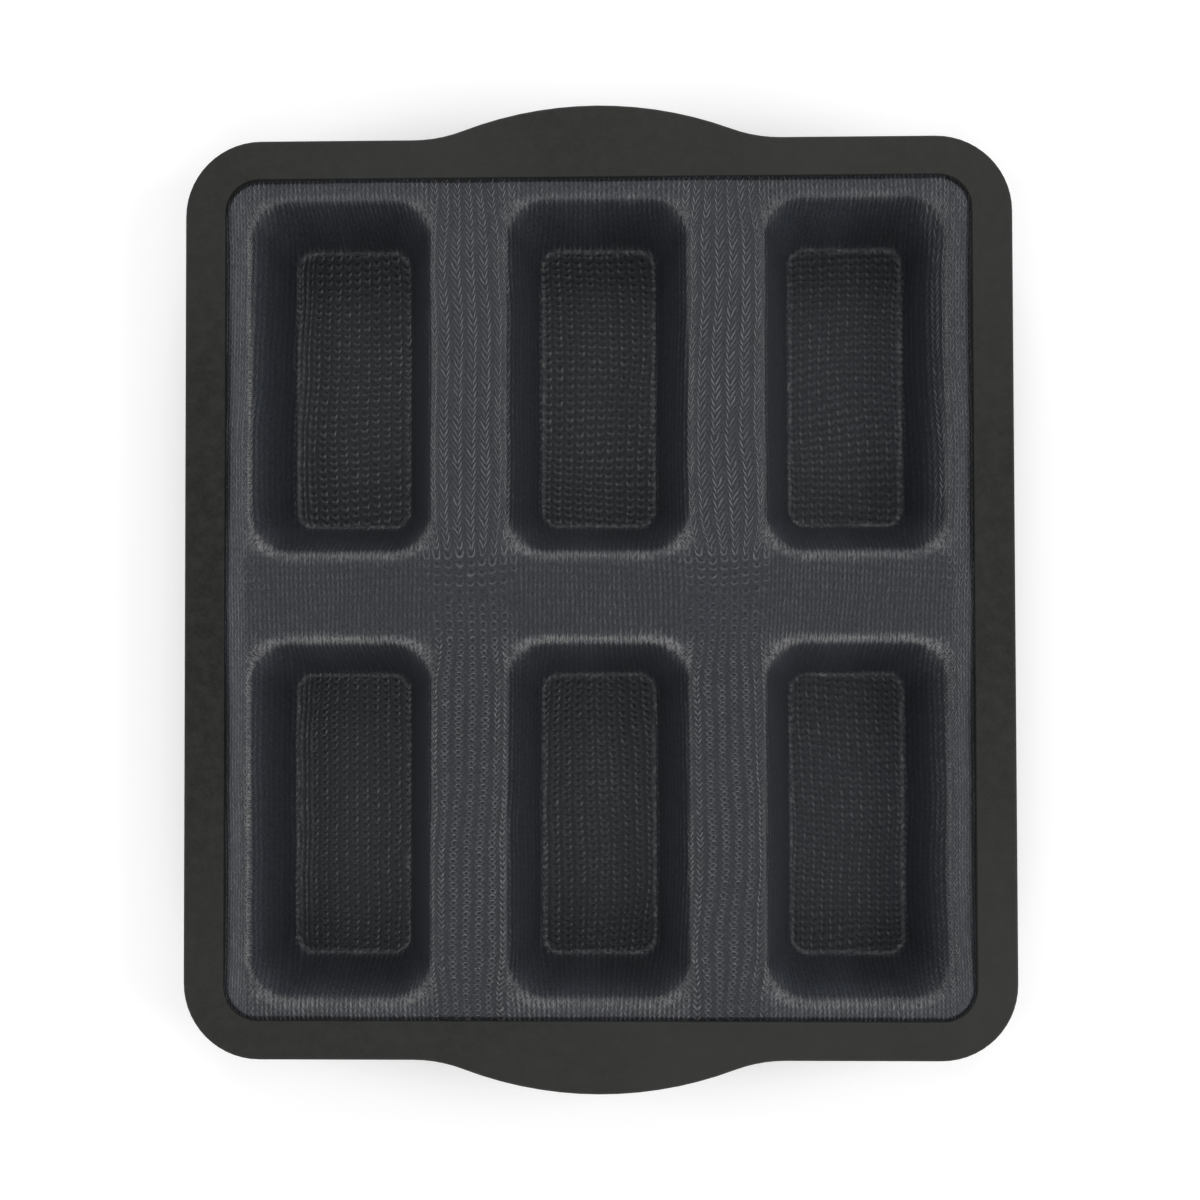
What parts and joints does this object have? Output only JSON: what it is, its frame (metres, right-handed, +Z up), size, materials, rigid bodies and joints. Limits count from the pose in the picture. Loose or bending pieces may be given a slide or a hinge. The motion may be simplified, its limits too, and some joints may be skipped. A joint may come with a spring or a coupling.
{
  "type": "baguette tray",
  "caption": "Flexible bake form: a knitted, silicone-coated liner formed into deep oblong wells, held in a steel-reinforced silicone rim with two handle lobes.",
  "frame": {"origin": "middle of the tray, on the surface that the well floors stand on", "axes": "+X across the three columns of wells, +Y along the wells towards the back handle lobe, +Z up out of the wells"},
  "size_m": [0.294, 0.3504, 0.0338],
  "materials": {
    "rim_silicone": "matt moulded silicone, dark olive-grey",
    "frame_steel": "stamped stainless sheet",
    "coated_knit": "silicone-coated glass-fibre knit, blue-black"
  },
  "bodies": {
    "root": {"rim_upper": "rim_silicone", "rim_lower": "rim_silicone", "steel_frame": "frame_steel", "liner_land": "coated_knit", "liner_well_front_left": "coated_knit", "liner_well_back_left": "coated_knit", "liner_well_front_middle": "coated_knit", "liner_well_back_middle": "coated_knit", "liner_well_front_right": "coated_knit", "liner_well_back_right": "coated_knit"}
  },
  "joints": []
}
